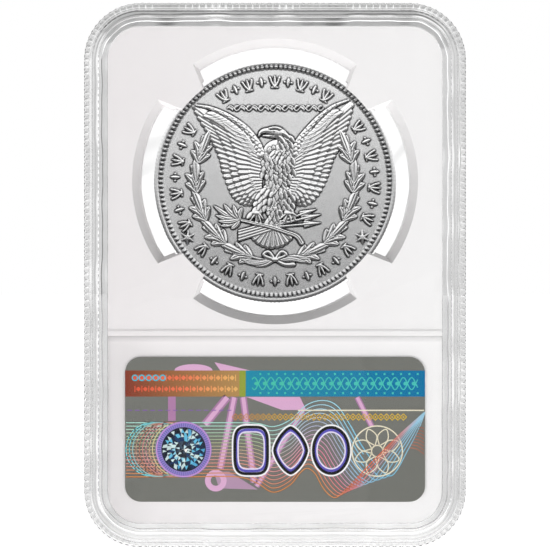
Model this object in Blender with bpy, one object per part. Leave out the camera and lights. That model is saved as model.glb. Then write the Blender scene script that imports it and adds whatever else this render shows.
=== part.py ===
"""Graded coin slab: two clear welded shells round a white prong insert, a silver coin and two labels.

The slab stands on its short edge. +X is to the right, +Z is up and the rear face, with the coin's
reverse and the hologram label, looks towards -Y. The origin is the middle of the bottom edge.
"""

from math import cos, pi, radians, sin

import bmesh
import bpy

MM = 0.001

# Driving dimensions of the slab, in metres
SLAB_WIDTH = 60.0 * MM
SLAB_HEIGHT = 85.5 * MM
SLAB_CORNER = 8.9 * MM
CORNER_STEPS = 10
MIDDLE_Z = SLAB_HEIGHT / 2

# The shells, as depth in from the edge and height out from the seam plane
SEAM_HALF_GAP = 0.15 * MM
EDGE_BREAK = 0.2 * MM
FLANGE_DEPTH = 0.8 * MM
FLANGE_HEIGHT = 2.0 * MM
RIM_HEIGHT = 4.1 * MM
CREST_START = 1.1 * MM
CREST_END = 2.1 * MM
CREST_END_HEIGHT = 4.0 * MM
SLOPE_END = 2.4 * MM
SLOPE_HEIGHT = 3.8 * MM
LEDGE_DEPTH = 3.1 * MM
LEDGE_HEIGHT = 3.6 * MM
WINDOW_DEPTH = 4.0 * MM
WINDOW_OUTSIDE = 3.4 * MM
WINDOW_INSIDE = 2.2 * MM
WALL_DEPTH = 3.4 * MM
WELD_CENTRE = 2.2 * MM
TONGUE_HALF_WIDTH = 0.2 * MM
TONGUE_LENGTH = 0.75 * MM
GROOVE_HALF_WIDTH = 0.4 * MM
GROOVE_LENGTH = 1.05 * MM

# The white insert
FIT_GAP = 0.3 * MM
CORE_DEPTH = WALL_DEPTH + FIT_GAP
RIB_HALF_THICKNESS = 2.0 * MM
CORE_HALF_THICKNESS = 1.85 * MM
PANEL_HALF_THICKNESS = 1.4 * MM
RIB_TOP_Z = MIDDLE_Z - 8.7 * MM
RIB_BOTTOM_Z = MIDDLE_Z - 9.5 * MM

# The coin and the seat that its four prongs make
COIN_Z = MIDDLE_Z + 14.7 * MM
COIN_RADIUS = 19.05 * MM
COIN_HALF_THICKNESS = 1.2 * MM
COIN_RIM_WIDTH = 0.75 * MM
COIN_RIM_SLOPE = 0.2 * MM
COIN_FIELD_HALF_THICKNESS = 0.95 * MM
COIN_EDGE_BREAK = 0.12 * MM
COIN_STEPS = 128
SEAT_GAP = 0.25 * MM
LIP_RADIUS = 18.4 * MM

# The four windows round the coin
WINDOW_RADIUS = 21.0 * MM
WINDOW_HALF_ANGLE = 34.2  # degrees, at the outer arc
WINDOW_FLARE = 0.67 / MM  # degrees wider per metre nearer the coin
WINDOW_INNER_RADIUS = 17.5 * MM
WINDOW_STEPS = 24
WALL_DRAFT = 0.25 * MM
BEVEL_START = 0.85 * MM
BEVEL_OUTER = 1.2 * MM
BEVEL_END = 0.7 * MM

# The labels
LABEL_GAP = 0.1 * MM
LABEL_THICKNESS = 0.2 * MM
LABEL_HEIGHT = 22.75 * MM
LABEL_Z = MIDDLE_Z - 24.25 * MM
HOLOGRAM_WIDTH = 47.1 * MM
HOLOGRAM_CORNER = 2.5 * MM
GRADING_WIDTH = 49.0 * MM
GRADING_CORNER = 1.0 * MM

# Cutters reach past what they cut: a bevel runs on to this multiple of its own size
CUT_MARGIN = 5.0 * MM
CUT_OVERRUN = 1.4

REAR = -1
FRONT = 1


def clear_scene():
    for item in list(bpy.data.objects):
        bpy.data.objects.remove(item, do_unlink=True)


def plain_material(name, colour, roughness, metallic=0.0, alpha=1.0):
    material = bpy.data.materials.new(name)
    material.use_nodes = True
    shader = material.node_tree.nodes["Principled BSDF"]
    shader.inputs["Base Color"].default_value = (*colour, 1.0)
    shader.inputs["Roughness"].default_value = roughness
    shader.inputs["Metallic"].default_value = metallic
    shader.inputs["Alpha"].default_value = alpha
    return material


def rounded_rectangle(width, height, corner):
    """Corner points (x, z) of a rectangle about its middle, counter-clockwise."""
    points = []
    for quarter, (side_x, side_z) in enumerate([(1, 1), (-1, 1), (-1, -1), (1, -1)]):
        centre_x = side_x * (width / 2 - corner)
        centre_z = side_z * (height / 2 - corner)
        for step in range(CORNER_STEPS + 1):
            angle = (quarter + step / CORNER_STEPS) * pi / 2
            points.append((centre_x + corner * cos(angle), centre_z + corner * sin(angle)))
    return points


def slab_outline(depth):
    """The slab's outline moved in from its edge by depth."""
    return rounded_rectangle(SLAB_WIDTH - 2 * depth, SLAB_HEIGHT - 2 * depth, SLAB_CORNER - depth)


def loft(name, rings, location, material):
    """One closed body through rings of 3-D points, with a flat cap on the first and the last."""
    mesh = bmesh.new()
    rows = [[mesh.verts.new(point) for point in ring] for ring in rings]
    for near, far in zip(rows, rows[1:]):
        for index in range(len(near)):
            following = (index + 1) % len(near)
            mesh.faces.new((near[index], near[following], far[following], far[index]))
    mesh.faces.new(rows[0])
    mesh.faces.new(reversed(rows[-1]))
    bmesh.ops.recalc_face_normals(mesh, faces=mesh.faces)
    data = bpy.data.meshes.new(name)
    mesh.to_mesh(data)
    mesh.free()
    data.shade_smooth()
    data.set_sharp_from_angle(angle=radians(30))
    if material:
        data.materials.append(material)
    item = bpy.data.objects.new(name, data)
    item.location = location
    bpy.context.collection.objects.link(item)
    return item


def plate(name, outline, low_y, high_y, location, material=None):
    rings = [[(x, y, z) for x, z in outline] for y in (low_y, high_y)]
    return loft(name, rings, location, material)


def shell(name, side, seam_profile, material):
    """A clear half: window plate, raised rim, ribbed flange's blank and its half of the weld."""
    outer_profile = [
        (WINDOW_DEPTH, WINDOW_OUTSIDE),
        (WINDOW_DEPTH - EDGE_BREAK, WINDOW_OUTSIDE + EDGE_BREAK / 2),
        (LEDGE_DEPTH, LEDGE_HEIGHT),
        (SLOPE_END, SLOPE_HEIGHT),
        (CREST_END, CREST_END_HEIGHT),
        (CREST_START, RIM_HEIGHT),
        (FLANGE_DEPTH, RIM_HEIGHT - EDGE_BREAK),
        (FLANGE_DEPTH, FLANGE_HEIGHT + EDGE_BREAK),
        (FLANGE_DEPTH - EDGE_BREAK, FLANGE_HEIGHT),
        (EDGE_BREAK, FLANGE_HEIGHT),
        (0.0, FLANGE_HEIGHT - EDGE_BREAK),
        (0.0, SEAM_HALF_GAP),
    ]
    inner_profile = [(WALL_DEPTH, SEAM_HALF_GAP), (WALL_DEPTH, WINDOW_INSIDE)]
    rings = []
    for depth, height in outer_profile + seam_profile + inner_profile:
        rings.append([(x, side * height, z) for x, z in slab_outline(depth)])
    return loft(name, rings, (0, 0, MIDDLE_Z), material)


def weld_profile(half_width, end_height):
    """A square tongue or groove in the seam face, at the weld line."""
    return [
        (WELD_CENTRE - half_width, SEAM_HALF_GAP),
        (WELD_CENTRE - half_width, end_height),
        (WELD_CENTRE + half_width, end_height),
        (WELD_CENTRE + half_width, SEAM_HALF_GAP),
    ]


def disc_outline(radius):
    angles = [2 * pi * step / COIN_STEPS for step in range(COIN_STEPS)]
    return [(radius * cos(angle), radius * sin(angle)) for angle in angles]


def window_outline(outer_grow, end_grow, turn):
    """A window's outline about the coin's centre, grown at its outer arc and at its two ends."""
    outer_radius = WINDOW_RADIUS + outer_grow

    def half_angle(radius):
        flare = WINDOW_FLARE * (WINDOW_RADIUS - radius)
        return radians(WINDOW_HALF_ANGLE + flare) + end_grow / radius

    points = []
    for radius, direction in ((outer_radius, 1), (WINDOW_INNER_RADIUS, -1)):
        for step in range(WINDOW_STEPS + 1):
            angle = turn + direction * half_angle(radius) * (2 * step / WINDOW_STEPS - 1)
            points.append((radius * cos(angle), radius * sin(angle)))
    return points


def window_cutter(name, turn):
    """The body cut away for one window: a drafted wall that widens to a bevel at both faces of the insert."""
    overrun_height = BEVEL_START + CUT_OVERRUN * (CORE_HALF_THICKNESS - BEVEL_START)
    overrun_outer = WALL_DRAFT + CUT_OVERRUN * BEVEL_OUTER
    overrun_end = CUT_OVERRUN * BEVEL_END
    stations = [
        (-overrun_height, overrun_outer, overrun_end),
        (-BEVEL_START, WALL_DRAFT, 0.0),
        (0.0, 0.0, 0.0),
        (BEVEL_START, WALL_DRAFT, 0.0),
        (overrun_height, overrun_outer, overrun_end),
    ]
    rings = []
    for y, outer_grow, end_grow in stations:
        rings.append([(x, y, z) for x, z in window_outline(outer_grow, end_grow, turn)])
    return loft(name, rings, (0, 0, COIN_Z), None)


def planing_cutter(name, side, start, low_z, high_z):
    """A block that planes the insert down to the given half thickness between two heights."""
    half_width = SLAB_WIDTH / 2
    outline = [(half_width, low_z), (half_width, high_z), (-half_width, high_z), (-half_width, low_z)]
    return plate(name, outline, side * start, side * (start + CUT_MARGIN), (0, 0, 0))


def cut(item, cutter):
    cutter.hide_render = True
    cutter.display_type = "WIRE"
    modifier = item.modifiers.new(cutter.name, "BOOLEAN")
    modifier.operation = "DIFFERENCE"
    modifier.solver = "EXACT"
    modifier.object = cutter


def prong_core(material):
    core = plate(
        "prong_core",
        slab_outline(CORE_DEPTH),
        -RIB_HALF_THICKNESS,
        RIB_HALF_THICKNESS,
        (0, 0, MIDDLE_Z),
        material,
    )
    for side, word in ((REAR, "rear"), (FRONT, "front")):
        above_slab = SLAB_HEIGHT + CUT_MARGIN
        cut(core, planing_cutter(f"coin_area_{word}", side, CORE_HALF_THICKNESS, RIB_TOP_Z, above_slab))
        cut(core, planing_cutter(f"label_area_{word}", side, PANEL_HALF_THICKNESS, -CUT_MARGIN, RIB_BOTTOM_Z))
    coin_centre = (0, 0, COIN_Z)
    seat_half = COIN_HALF_THICKNESS + SEAT_GAP
    seat_outline = disc_outline(COIN_RADIUS + SEAT_GAP)
    lip_outline = disc_outline(LIP_RADIUS)
    cut(core, plate("seat_cutter", seat_outline, -seat_half, seat_half, coin_centre))
    cut(core, plate("lip_cutter", lip_outline, -CUT_MARGIN, CUT_MARGIN, coin_centre))
    for quarter in range(4):
        cut(core, window_cutter(f"window_cutter_{quarter}", quarter * pi / 2))
    return core


def coin(material):
    """The coin, turned about Y through its centre, with a raised rim on both faces."""
    profile = [
        (COIN_RADIUS - COIN_RIM_WIDTH - COIN_RIM_SLOPE, COIN_FIELD_HALF_THICKNESS),
        (COIN_RADIUS - COIN_RIM_WIDTH, COIN_HALF_THICKNESS),
        (COIN_RADIUS - COIN_EDGE_BREAK, COIN_HALF_THICKNESS),
        (COIN_RADIUS, COIN_HALF_THICKNESS - COIN_EDGE_BREAK),
    ]
    stations = [(radius, -height) for radius, height in profile]
    stations += [(radius, height) for radius, height in reversed(profile)]
    rings = [[(x, y, z) for x, z in disc_outline(radius)] for radius, y in stations]
    return loft("coin", rings, (0, 0, COIN_Z), material)


def label(name, side, width, corner, material):
    start = PANEL_HALF_THICKNESS + LABEL_GAP
    outline = rounded_rectangle(width, LABEL_HEIGHT, corner)
    return plate(name, outline, side * start, side * (start + LABEL_THICKNESS), (0, 0, LABEL_Z), material)


def build():
    clear_scene()
    clear_plastic = plain_material("clear_plastic", (0.93, 0.94, 0.95), 0.08, alpha=0.3)
    white_plastic = plain_material("white_plastic", (0.86, 0.85, 0.85), 0.45)
    silver = plain_material("silver", (0.74, 0.74, 0.73), 0.32, metallic=1.0)
    foil = plain_material("hologram_foil", (0.19, 0.19, 0.16), 0.35, metallic=0.6)
    card = plain_material("label_card", (0.82, 0.81, 0.77), 0.6)
    shell("rear_shell", REAR, weld_profile(GROOVE_HALF_WIDTH, GROOVE_LENGTH), clear_plastic)
    shell("front_shell", FRONT, weld_profile(TONGUE_HALF_WIDTH, -TONGUE_LENGTH), clear_plastic)
    prong_core(white_plastic)
    coin(silver)
    label("hologram_label", REAR, HOLOGRAM_WIDTH, HOLOGRAM_CORNER, foil)
    label("grading_label", FRONT, GRADING_WIDTH, GRADING_CORNER, card)


build()
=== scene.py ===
"""Looks of a graded coin slab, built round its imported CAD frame.

The CAD node of the white insert is kept, with its edges rounded. The clear shells, the coin and the
two labels are rebuilt with their ribs, relief and print. The rear face looks towards -Y.
"""

import random

from math import cos, pi, radians, sin

import bmesh
import bpy
import numpy as np
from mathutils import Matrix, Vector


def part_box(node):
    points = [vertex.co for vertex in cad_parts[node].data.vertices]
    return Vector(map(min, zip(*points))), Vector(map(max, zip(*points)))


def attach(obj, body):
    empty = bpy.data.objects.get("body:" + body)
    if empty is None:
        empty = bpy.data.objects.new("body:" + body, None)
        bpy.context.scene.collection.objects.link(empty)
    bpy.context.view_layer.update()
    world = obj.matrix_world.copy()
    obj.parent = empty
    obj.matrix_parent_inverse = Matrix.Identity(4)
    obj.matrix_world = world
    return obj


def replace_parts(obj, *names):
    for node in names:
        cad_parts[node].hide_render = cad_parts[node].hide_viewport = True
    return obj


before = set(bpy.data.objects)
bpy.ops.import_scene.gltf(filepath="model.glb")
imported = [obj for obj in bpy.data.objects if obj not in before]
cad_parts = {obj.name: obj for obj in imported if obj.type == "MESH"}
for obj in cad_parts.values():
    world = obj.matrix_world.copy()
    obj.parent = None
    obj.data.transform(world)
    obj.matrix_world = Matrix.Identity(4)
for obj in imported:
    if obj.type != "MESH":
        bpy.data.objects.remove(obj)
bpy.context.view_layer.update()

MM = 0.001

# --- Sizes read from the CAD frame, in millimetres ---


def box_mm(node):
    low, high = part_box(node)
    return np.array(low) / MM, np.array(high) / MM


slab_low, slab_high = box_mm("rear_shell")
slab_high = np.maximum(slab_high, box_mm("front_shell")[1])
coin_low, coin_high = box_mm("coin")
foil_low, foil_high = box_mm("hologram_label")
card_low, card_high = box_mm("grading_label")

SLAB_WIDTH = slab_high[0] - slab_low[0]
SLAB_HEIGHT = slab_high[2] - slab_low[2]
MIDDLE_Z = SLAB_HEIGHT / 2
RIM_HEIGHT = slab_high[1]
SLAB_CORNER = 8.9
COIN_Z = (coin_low[2] + coin_high[2]) / 2
COIN_RADIUS = (coin_high[0] - coin_low[0]) / 2
COIN_FACE = coin_high[1]
COIN_FIELD = COIN_FACE - 0.25
FOIL_Z = (foil_low[2] + foil_high[2]) / 2
FOIL_SIZE = (foil_high - foil_low)[[0, 2]]
CARD_Z = (card_low[2] + card_high[2]) / 2
CARD_SIZE = (card_high - card_low)[[0, 2]]
LEDGE_Z = MIDDLE_Z - 9.6

REAR = -1
FRONT = 1

# --- Materials ---


class Nodes:
    """A short way to build a material or world node tree."""

    def __init__(self, owner):
        owner.use_nodes = True
        self.tree = owner.node_tree
        self.tree.nodes.clear()

    def add(self, kind, inputs=None, **settings):
        node = self.tree.nodes.new(kind)
        for name, value in settings.items():
            setattr(node, name, value)
        for name, value in (inputs or {}).items():
            self.plug(node.inputs[name], value)
        return node

    def plug(self, socket, value):
        if isinstance(value, bpy.types.NodeSocket):
            self.tree.links.new(value, socket)
        else:
            socket.default_value = value

    def math(self, operation, *values):
        return self.add("ShaderNodeMath", dict(enumerate(values)), operation=operation).outputs[0]

    def remap(self, value, *limits):
        """A value moved from one range, its first two limits, to another, clamped."""
        names = ("From Min", "From Max", "To Min", "To Max")
        return self.add("ShaderNodeMapRange", {"Value": value} | dict(zip(names, limits))).outputs["Result"]

    def ramp(self, value, *stops):
        """A value that follows (from, to) stops."""
        low, high = stops[0][0], stops[-1][0]
        node = self.add("ShaderNodeValToRGB", {"Fac": self.remap(value, low, high, 0.0, 1.0)})
        elements = node.color_ramp.elements
        while len(elements) < len(stops):
            elements.new(0.5)
        for element, (at, level) in zip(elements, stops):
            element.position = (at - low) / (high - low)
            element.color = grey(level)
        return node.outputs["Color"]

    def pick(self, share, first, second):
        """The first number, or the second where share is 1."""
        return self.add("ShaderNodeMix", {0: share, 2: first, 3: second}, data_type="FLOAT").outputs[0]

    def over(self, depth, limit, first, second):
        """The first number, or the second for rays whose depth is over a limit."""
        return self.pick(self.math("GREATER_THAN", depth, limit), first, second)

    def noise(self, where, scale, detail=3.0, roughness=0.5):
        inputs = {"Vector": where, "Scale": scale, "Detail": detail, "Roughness": roughness}
        return self.add("ShaderNodeTexNoise", inputs).outputs["Fac"]

    def mix_colour(self, share, first, second, blend="MIX"):
        inputs = {0: share, 6: first, 7: second}
        return self.add("ShaderNodeMix", inputs, data_type="RGBA", blend_type=blend).outputs[2]

    def bump(self, height, strength, distance):
        inputs = {"Height": height, "Strength": strength, "Distance": distance}
        return self.add("ShaderNodeBump", inputs).outputs["Normal"]

    def where(self, stretch=(1, 1, 1)):
        """Object coordinates in millimetres, stretched along the axes."""
        place = self.add("ShaderNodeTexCoord").outputs["Object"]
        place = self.add("ShaderNodeVectorMath", {0: place, "Scale": 1 / MM}, operation="SCALE").outputs[0]
        return self.add("ShaderNodeMapping", {"Vector": place, "Scale": stretch}).outputs[0]

    def axes(self, vector):
        """The X, Y and Z of a vector."""
        return self.add("ShaderNodeSeparateXYZ", {"Vector": vector}).outputs

    def principled(self, colour, roughness, normal, **others):
        """Ends a material in one Principled shader. Other inputs are named with underscores for spaces."""
        inputs = {"Base Color": colour, "Roughness": roughness, "Normal": normal}
        inputs |= {name.replace("_", " "): value for name, value in others.items()}
        self.finish(self.add("ShaderNodeBsdfPrincipled", inputs).outputs[0])

    def finish(self, shader):
        self.add("ShaderNodeOutputMaterial", {"Surface": shader})


def grey(level):
    return (level, level, level, 1)


def new_material(name):
    material = bpy.data.materials.new(name)
    return material, Nodes(material)


def clear_plastic_material():
    """Polished clear plastic with faint scuffs. Lamps and reflections see straight through it."""
    material, n = new_material("clear_plastic_look")
    scuffs = n.noise(n.where((0.3, 0.3, 2.5)), 1.5, 6.0)
    waves = n.noise(n.where(), 0.09, 1.0)
    normal = n.bump(n.math("ADD", n.math("MULTIPLY", scuffs, 0.02), waves), 0.25, 0.02 * MM)
    rim = n.add("ShaderNodeAttribute", attribute_name="rim").outputs["Fac"]
    cloud = n.remap(n.noise(n.where(), 0.5), 0.35, 0.65, 0.99, 0.97)
    milky = n.add("ShaderNodeCombineColor", {0: cloud, 1: cloud, 2: cloud}).outputs[0]
    tint = n.mix_colour(rim, grey(0.998), milky)
    glass = n.add("ShaderNodeBsdfGlass", {"Color": tint, "Roughness": 0.0, "IOR": 1.52, "Normal": normal})
    clear = n.add("ShaderNodeBsdfTransparent", {"Color": grey(0.97)})
    path = n.add("ShaderNodeLightPath").outputs
    indirect = n.math("MAXIMUM", path["Is Shadow Ray"], path["Is Diffuse Ray"])
    bounced = n.math("MAXIMUM", indirect, n.math("GREATER_THAN", path["Glossy Depth"], 0.5))
    mixed = n.add("ShaderNodeMixShader", {0: bounced, 1: glass.outputs[0], 2: clear.outputs[0]})
    n.finish(mixed.outputs[0])
    return material


def white_plastic_material():
    """Moulded white plastic with a fine grain and faint flow marks. Shade is painted into its colour: on its
    countersinks, most where they face up, a little towards the left, and darkest in a thin painted shadow
    line under the rib."""
    material, n = new_material("white_plastic_look")
    place = n.where()
    spot = n.axes(place)
    flow = n.noise(n.where((0.05, 0.05, 0.12)), 1.0)
    grain = n.noise(place, 9.0, 2.0)
    colour = n.mix_colour(flow, (0.88, 0.868, 0.868, 1), (0.91, 0.902, 0.902, 1))
    # Painted shade: the insert is a little darker towards the left, as if lit from the right, and darker
    # still along the panel's left edge.
    left = n.mix_colour(0.1, colour, (0.2, 0, 0.05, 1))
    colour = n.mix_colour(n.remap(spot["X"], -24.0, 24.0, 0.0, 1.0), left, colour)
    in_panel = n.math("LESS_THAN", spot["Z"], LEDGE_Z)
    left_shade = n.ramp(spot["X"], (-26.5, 0.3), (-25.6, 0.14), (-22.5, 0.09), (-18, 0))
    colour = n.mix_colour(n.math("MULTIPLY", in_panel, left_shade), colour, grey(0.2))
    # Painted shade on the countersinks: their faces are greyed, most where they face up, as if lit from
    # below.
    facing = n.axes(n.add("ShaderNodeNewGeometry").outputs["True Normal"])
    slope = n.math("COMPARE", n.math("ABSOLUTE", facing["Y"]), 0.77, 0.15)
    dull = n.remap(facing["Z"], -0.5, 0.6, 0.28, 0.75)
    colour = n.mix_colour(n.math("MULTIPLY", slope, dull), colour, (0.5, 0.49, 0.49, 1))
    # Painted shadow: a soft dark line just under the rib, where the panel meets its step, and a faint one
    # along the rib's top edge.
    below_ledge = n.math("SUBTRACT", LEDGE_Z, spot["Z"])
    shade = n.ramp(
        below_ledge,
        (-1.2, 0), (-0.85, 0), (-0.75, 0.12), (-0.6, 0), (-0.1, 0), (0.02, 0.66), (0.25, 0.4), (1, 0),
    )
    colour = n.mix_colour(shade, colour, grey(0.2))
    roughness = n.remap(flow, 0.3, 0.7, 0.42, 0.55)
    n.principled(colour, roughness, n.bump(grain, 0.12, 0.03 * MM), Specular_IOR_Level=0.25)
    return material


def silver_material():
    """Satin silver with a fine grain, with painted shade that makes it nearly black in its hollows and a
    little darker towards the bottom.
    """
    material, n = new_material("silver_look")
    place = n.where()
    painted_hollow_shade = n.add("ShaderNodeAttribute", attribute_name="painted_hollow_shade").outputs["Fac"]
    grain = n.noise(place, 14.0, 3.0, 0.7)
    cloud = n.noise(place, 0.35, 4.0, 0.6)
    colour = n.mix_colour(cloud, (0.88, 0.88, 0.885, 1), grey(0.97))
    # Painted shade: the silver darkens towards the bottom of the coin, as if lit from above.
    painted_lower_shade = n.remap(n.axes(place)["Z"], COIN_Z + 16.0, COIN_Z - COIN_RADIUS, 0.0, 0.4)
    colour = n.mix_colour(painted_lower_shade, colour, (0.12, 0.12, 0.125, 1))
    # Painted shade: the hollows of the relief and rim go nearly black.
    colour = n.mix_colour(n.math("MULTIPLY", painted_hollow_shade, 0.97), colour, (0.02, 0.02, 0.022, 1))
    roughness = n.remap(grain, 0.3, 0.7, 0.15, 0.22)
    n.principled(colour, roughness, n.bump(grain, 0.3, 0.02 * MM), Metallic=1.0)
    return material


def printed_material(name, metallic, roughness_low, roughness_high, speckle):
    """Ink held in the mesh, with a fine speckle and uneven gloss."""
    material, n = new_material(name)
    place = n.where()
    ink = n.add("ShaderNodeAttribute", attribute_name="ink").outputs["Color"]
    fine = n.noise(place, 6.0, 4.0, 0.7)
    broad = n.noise(place, 0.12, 2.0)
    dark = n.mix_colour(1.0, ink, grey(1 - speckle), "MULTIPLY")
    colour = n.mix_colour(n.remap(fine, 0.35, 0.65, 0.0, 1.0), ink, dark)
    roughness = n.remap(broad, 0.3, 0.7, roughness_low, roughness_high)
    bump = n.bump(fine, 0.15, 0.01 * MM)
    n.principled(colour, roughness, bump, Metallic=metallic, Specular_IOR_Level=0.12)
    return material


# --- Pieces ---


def put(name, data, material, body, nodes=()):
    data.materials.append(material)
    item = bpy.data.objects.new(name, data)
    bpy.context.scene.collection.objects.link(item)
    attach(item, body)
    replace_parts(item, *nodes)
    return item


def polar(radius, degrees_up):
    return np.array([radius * cos(radians(degrees_up)), radius * sin(radians(degrees_up))])


def mesh_from(name, points, faces, smooth=True):
    """A mesh from points in millimetres in the row frame."""
    data = bpy.data.meshes.new(name)
    data.from_pydata((np.asarray(points, float) * MM).tolist(), [], faces)
    if smooth:
        data.shade_smooth()
    data.validate()
    return data


def grid_faces(rows, columns, wrap=False):
    """Quads over rows of points, closed round each row if wrap is set."""
    i, j = np.meshgrid(np.arange(rows - 1), np.arange(columns if wrap else columns - 1), indexing="ij")
    following = (j + 1) % columns
    here, above = i * columns, (i + 1) * columns
    return np.stack([here + j, here + following, above + following, above + j], -1).reshape(-1, 4).tolist()


def walls(lower, upper):
    """Quads all the way round between two loops of point numbers."""
    return np.stack([lower, upper, np.roll(upper, -1), np.roll(lower, -1)], -1).tolist()


def store(data, name, values):
    """Keeps one number for each point, for a material to read."""
    numbers = np.ascontiguousarray(values, np.float32)
    data.attributes.new(name, "FLOAT", "POINT").data.foreach_set("value", numbers)


def face_outwards(data):
    work = bmesh.new()
    work.from_mesh(data)
    bmesh.ops.recalc_face_normals(work, faces=work.faces)
    work.to_mesh(data)
    work.free()


# --- The clear shells ---


def rounded_rectangle_path(width, height, corner, count):
    """Points and outward directions at even steps round a rounded rectangle, from its right side's foot."""
    straights = (height - 2 * corner, width - 2 * corner)
    quarter = corner * pi / 2
    total = 2 * (straights[1] + straights[0]) + 4 * quarter
    at = np.arange(count) / count * total
    points = np.zeros((count, 2))
    out = np.zeros((count, 2))
    start = 0.0
    ways = (((1, -1), (0, 1)), ((1, 1), (-1, 0)), ((-1, 1), (0, -1)), ((-1, -1), (1, 0)))
    for side, ((corner_x, corner_z), run) in enumerate(ways):
        length = straights[side % 2]
        outward = polar(1, 90 * side)
        centre = np.array([corner_x * (width / 2 - corner), corner_z * (height / 2 - corner)])
        here = (at >= start) & (at < start + length)
        points[here] = centre + corner * outward + (at[here] - start)[:, None] * np.array(run)
        out[here] = outward
        start += length
        here = (at >= start) & (at < start + quarter)
        turn = radians(90 * side) + (at[here] - start) / corner
        out[here] = np.column_stack([np.cos(turn), np.sin(turn)])
        points[here] = centre + length * np.array(run) + corner * out[here]
        start += quarter
    return points, out


def fillet(corners):
    """A profile from (depth, height, radius) corners, each rounded by three points, and its normals."""
    result = []
    runs = []
    for index, (depth, height, radius) in enumerate(corners):
        here = np.array([depth, height])
        before = np.array(corners[max(index - 1, 0)][:2]) - here
        after = np.array(corners[min(index + 1, len(corners) - 1)][:2]) - here
        if index in (0, len(corners) - 1):
            result.append(here)
            runs.append(after - before)
            continue
        first, last = (here + way * min(radius / np.hypot(*way), 0.45) for way in (before, after))
        for t in (0, 0.5, 1):
            result.append((1 - t) ** 2 * first + 2 * t * (1 - t) * here + t**2 * last)
            runs.append((1 - t) * (here - first) + t * (last - here))
    runs = np.array(runs)
    normals = np.column_stack([runs[:, 1], -runs[:, 0]])
    return np.array(result), normals / np.hypot(*normals.T)[:, None]


RIB_COUNT = 262
STATIONS_PER_RIB = 8
TILT_WAVES = 0.04
RIB_ZONE = 0.78
RIB_DEPTH = 0.16
RIB_DROP = 0.09
WAVINESS = 0.03


def shell_piece(name, node, side, material):
    """One clear half, with its window, stepped rim and a ribbed grip round the edge."""
    corners = [
        (5.0, 3.4, 0),
        (4.05, 3.4, 0.1),
        (3.1, 3.5, 0.06),
        (2.4, 3.62, 0.05),
        (2.28, 3.88, 0.04),
        (2.24, RIM_HEIGHT - 0.17, 0.02),
        (1.98, RIM_HEIGHT - 0.17, 0.03),
        (1.52, RIM_HEIGHT - 0.12, 0.04),
        (1.27, RIM_HEIGHT - 0.02, 0.05),
        (0.85, RIM_HEIGHT, 0.04),
        (0.8, RIM_HEIGHT - 0.06, 0.03),
        (0.8, 1.93, 0.05),
        (0.0, 2.02, 0.04),
        (0.0, 0.03, 0.06),
        (3.6, 0.03, 0.04),
        (3.64, 2.2, 0.04),
        (5.0, 2.2, 0),
    ]
    profile, profile_normals = fillet(corners)
    count = RIB_COUNT * STATIONS_PER_RIB
    points, out = rounded_rectangle_path(SLAB_WIDTH, SLAB_HEIGHT, SLAB_CORNER, count)
    share = 2 * (np.arange(count) / STATIONS_PER_RIB % 1) - 1
    groove = share**2
    depth = np.repeat(profile[:, :1], count, 1)
    height = np.repeat(profile[:, 1:], count, 1)
    turn = 2 * pi * np.arange(count) / count
    wave = 0.5 * np.sin(9 * turn + 1.0 + side) + 0.3 * np.sin(23 * turn + 2.2) + 0.2 * np.sin(51 * turn + 0.4)
    height = height + WAVINESS * wave * np.clip((depth - 1.2) / 0.8, 0, 1) * (depth < 3.3) * (height > 3.0)
    flange = (depth < RIB_ZONE) & (height > 1.8) & (height < 3.0)
    ribbed = (flange | (depth == 0)) & (height > 1.5)
    height = height - RIB_DROP * groove * np.clip(1 - depth / RIB_ZONE, 0, 1) * ribbed
    notch = np.clip((height - 0.5) / 0.6, 0, 1) * np.clip(1 - depth / 0.3, 0, 1)
    depth = depth + RIB_DEPTH * groove * notch
    x = points[None, :, 0] - depth * out[None, :, 0]
    z = points[None, :, 1] - depth * out[None, :, 1] + MIDDLE_Z
    cloud = np.stack([x, side * height, z], -1).reshape(-1, 3)
    rows = len(profile)
    faces = grid_faces(rows, count, wrap=True)
    faces.append(list(range(count)))
    faces.append(list(range((rows - 1) * count, rows * count))[::-1])
    data = mesh_from(name, cloud, faces)
    face_outwards(data)
    forward = np.roll(points, -1, 0) - np.roll(points, 1, 0)
    step = np.hypot(forward[:, 0], forward[:, 1])
    forward = forward / step[:, None]
    along_rim = (np.roll(height, -1, 1) - np.roll(height, 1, 1)) / step * flange
    upright = profile_normals[:, 1:] + 0 * wave
    lean = profile_normals[:, :1] + TILT_WAVES * wave - flange * upright * RIB_DROP * groove / RIB_ZONE
    across_x = -lean * out[:, 0] - upright * along_rim * forward[:, 0]
    across_z = -lean * out[:, 1] - upright * along_rim * forward[:, 1]
    normals = np.stack([across_x, side * upright, across_z], -1)
    edge = (profile[:, :1] < 0.05) & (profile[:, 1:] > 0.45) & (profile[:, 1:] < 1.99)
    normals = np.where(edge[..., None], 0.0, normals / np.linalg.norm(normals, axis=-1, keepdims=True))
    data.normals_split_custom_set_from_vertices(normals.reshape(-1, 3))
    store(data, "rim", np.repeat(np.clip((4.2 - profile[:, 0]) / 0.4, 0, 1), count))
    return put(name, data, material, "holder", (node,))


# --- Coin relief: height maps drawn with strokes, in millimetres about the coin's centre ---

MAP_HALF = 17.8
MAP_CELLS = 890
MAP_STEP = 2 * MAP_HALF / MAP_CELLS
FIELD_RADIUS = 17.45


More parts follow.
